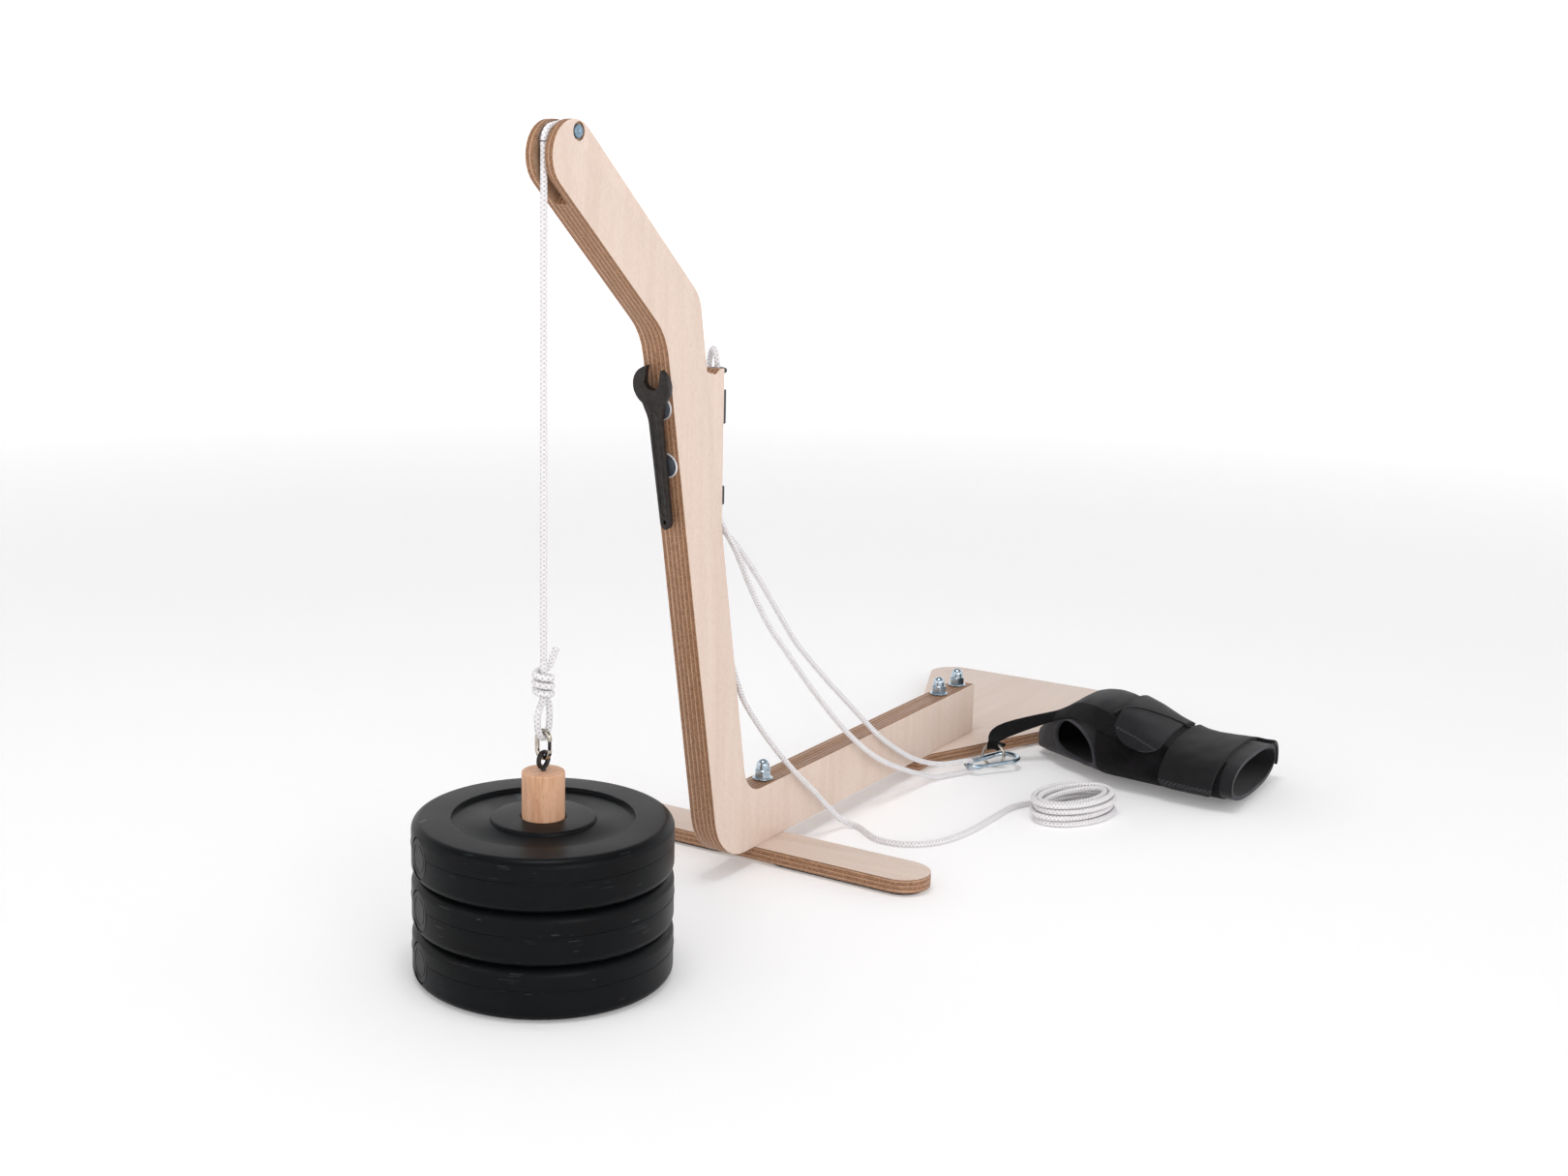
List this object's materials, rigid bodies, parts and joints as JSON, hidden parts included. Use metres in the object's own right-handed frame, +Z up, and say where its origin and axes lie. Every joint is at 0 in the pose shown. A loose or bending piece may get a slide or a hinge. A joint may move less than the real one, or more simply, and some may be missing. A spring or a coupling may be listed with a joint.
{
  "type": "joint distraction trainer",
  "caption": "Plywood pull frame with a cord over a roller, black weight plates on one end and a padded ankle cuff on the other.",
  "frame": {"origin": "on the floor under the middle of the front foot's crossbar, in the panel's middle plane", "axes": "+Z up; +X along the beam from the front foot to the rear plate, the weights hang at -X; +Y across the panel, to its far side in the picture; the cuff lies at -Y"},
  "size_m": [1.034, 0.4657, 0.6156],
  "materials": {
    "birch_plywood": "clear-lacquered birch plywood, ply edges showing",
    "beech": "turned beech, oiled",
    "zinc_plate": "bright zinc plating",
    "nickel": "nickel plating, slightly dull",
    "rubber": "matte black rubber",
    "black_plastic": "black moulded plastic",
    "black_metal": "black phosphate on steel",
    "white_plastic": "white plastic rim",
    "plate_vinyl": "black vinyl shell, satin",
    "white_cord": "white braided polyester cord",
    "neoprene": "black neoprene with nylon facing",
    "webbing": "black woven strap"
  },
  "bodies": {
    "frame": {"side_panel": "birch_plywood", "crossbar_foot": "birch_plywood", "rear_plate": "birch_plywood", "foot_pad_near": "rubber", "foot_pad_far": "rubber", "rear_pad": "rubber", "frame_bolt_front": "zinc_plate", "frame_bolt_rear_inner": "zinc_plate", "frame_bolt_rear_outer": "zinc_plate", "cap_nut_front": "zinc_plate", "cap_nut_rear_inner": "zinc_plate", "cap_nut_rear_outer": "zinc_plate", "roller_axle": "zinc_plate", "cross_bolt": "zinc_plate", "magnet_upper": "rubber", "magnet_lower": "rubber", "magnet_rim_upper": "white_plastic", "magnet_rim_lower": "white_plastic", "cleat": "black_plastic", "cleat_screw_low": "zinc_plate", "cleat_screw_high": "zinc_plate", "tail_guide": "black_plastic", "lower_fairlead": "black_plastic", "cord_over_frame": "white_cord", "cord_user": "white_cord", "cord_tail": "white_cord", "cord_hank": "white_cord", "carabiner": "zinc_plate", "link_ring": "nickel", "cuff_body": "neoprene", "calf_strap": "webbing", "instep_strap": "webbing", "ring_strap": "webbing"},
    "roller_wheel": {"roller": "nickel"},
    "stack": {"weight_plate_1": "plate_vinyl", "weight_plate_2": "plate_vinyl", "weight_plate_3": "plate_vinyl", "plate_plug_1": "plate_vinyl", "plate_plug_2": "plate_vinyl", "plate_plug_3": "plate_vinyl", "stack_core": "beech", "core_washer": "zinc_plate", "washer_screw": "zinc_plate", "core_eye": "black_metal", "snap_ring": "nickel", "cord_knot": "white_cord", "cord_drop": "white_cord"},
    "snap_gate_arm": {"snap_gate": "black_metal"},
    "carabiner_gate_arm": {"carabiner_gate": "zinc_plate"},
    "spanner_tool": {"spanner": "black_metal"}
  },
  "joints": [
    {"name": "roller_spin", "type": "hinge", "parent": "frame", "child": "roller_wheel", "pos_m": [-0.293, 0, 0.6], "axis": [0, 1, 0], "continuous": true},
    {"name": "weight_lift", "type": "slide", "parent": "frame", "child": "stack", "axis": [0, 0, 1], "range_m": [0, 0.3], "deforming": ["cord_drop"]},
    {"name": "snap_gate_hinge", "type": "hinge", "parent": "stack", "child": "snap_gate_arm", "pos_m": [-0.304, -0.0056, 0.1688], "axis": [1, 0, 0], "range_deg": [-16, 0], "stiffness_Nm_per_rad": 0.02},
    {"name": "carabiner_gate_hinge", "type": "hinge", "parent": "frame", "child": "carabiner_gate_arm", "pos_m": [0.34674, -0.08449, 0.01041], "axis": [-0.0403, 0.0208, 0.999], "range_deg": [-20, 0], "stiffness_Nm_per_rad": 0.05},
    {"name": "spanner_pull", "type": "slide", "parent": "frame", "child": "spanner_tool", "axis": [-0.981, 0, -0.1942], "range_m": [0, 0.03]}
  ],
  "couplings": [
    {"joint": "roller_spin", "follows": "weight_lift", "rad_per_m": 93.458}
  ]
}
